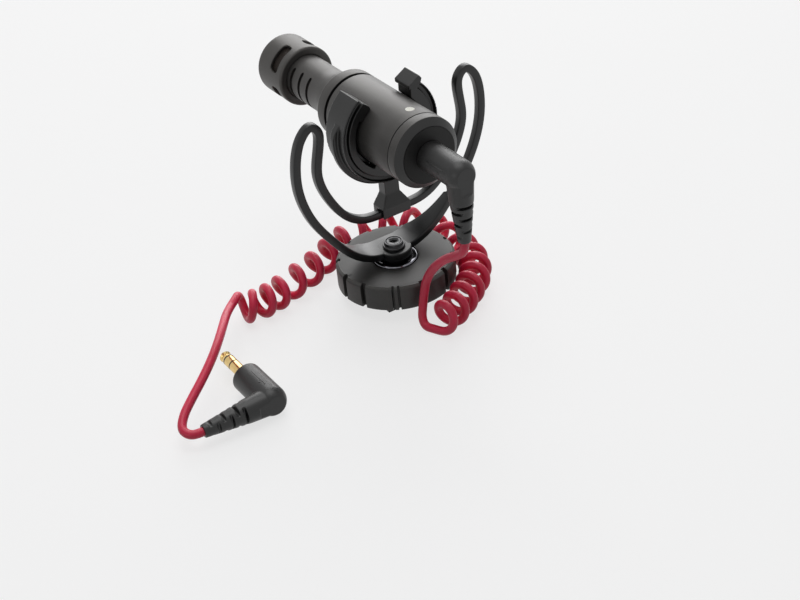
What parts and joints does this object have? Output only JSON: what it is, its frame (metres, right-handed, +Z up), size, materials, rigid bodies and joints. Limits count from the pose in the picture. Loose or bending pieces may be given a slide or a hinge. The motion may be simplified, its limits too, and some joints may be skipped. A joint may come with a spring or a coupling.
{
  "type": "on camera microphone",
  "caption": "Compact shotgun microphone in a springy lyre cradle on a cold-shoe foot with a locking wheel, and a curly cable to a right-angle plug.",
  "frame": {"origin": "middle of the shoe foot's underside, on the locking wheel's axis", "axes": "+Y the way the microphone points, +Z up from the foot, +X to the right seen from behind"},
  "size_m": [0.1197, 0.0977, 0.0701],
  "materials": {
    "anodised": "satin anodised, warm dark grey",
    "cap": "satin anodised, warm grey",
    "plate": "matt black",
    "socket": "matt black",
    "dot": "pale inlay",
    "screen": "fine woven wire",
    "capsule": "satin",
    "carrier": "soft",
    "board": "green laminate",
    "parts": "chips and capacitors",
    "clip": "satin black",
    "lyre": "satin black, springy",
    "steel": "plain",
    "washer": "black chrome",
    "ring": "polished black",
    "wheel": "fine matt charcoal",
    "foot": "matt",
    "plug": "matt charcoal moulding",
    "contact": "gold plated",
    "insulator": "black",
    "cord": "satin crimson jacket"
  },
  "bodies": {
    "foot": {"shoe_foot": "foot", "thread_insert": "steel", "lyre": "lyre", "lyre_washer": "washer", "lyre_screw": "steel", "cord_lead_mic": "cord", "cord_coil": "cord", "cord_lead_camera": "cord", "camera_plug_body": "plug", "camera_plug_sleeve": "contact", "camera_plug_ring": "contact", "camera_plug_tip": "contact", "camera_plug_insulators": "insulator"},
    "ring_carrier": {"hub_ring": "ring"},
    "wheel": {"locking_wheel": "wheel"},
    "microphone": {"main_tube": "anodised", "index_dot": "dot", "rear_ring": "anodised", "end_plate": "plate", "jack_socket": "socket", "neck_body": "anodised", "neck_mesh": "screen", "capsule_carrier": "carrier", "capsule": "capsule", "front_cap": "cap", "cap_mesh": "screen", "circuit_board": "board", "board_parts": "parts", "mic_clip": "clip", "mic_plug_body": "plug", "mic_plug_sleeve": "contact", "mic_plug_ring": "contact", "mic_plug_tip": "contact", "mic_plug_insulators": "insulator"}
  },
  "joints": [
    {"name": "suspension", "type": "slide", "parent": "foot", "child": "microphone", "axis": [0, 1, 0], "range_m": [-0.002, 0.002], "stiffness_N_per_m": 400, "deforming": ["lyre", "cord_lead_mic"]},
    {"name": "ring_rise", "type": "slide", "parent": "foot", "child": "ring_carrier", "axis": [0, 0, 1], "range_m": [0, 0.0008]},
    {"name": "wheel_turn", "type": "hinge", "parent": "ring_carrier", "child": "wheel", "pos_m": [0, 0, 0], "axis": [0, 0, 1], "range_deg": [0, 180]}
  ],
  "couplings": [
    {"joint": "ring_rise", "follows": "wheel_turn", "m_per_rad": 0.00025266}
  ]
}
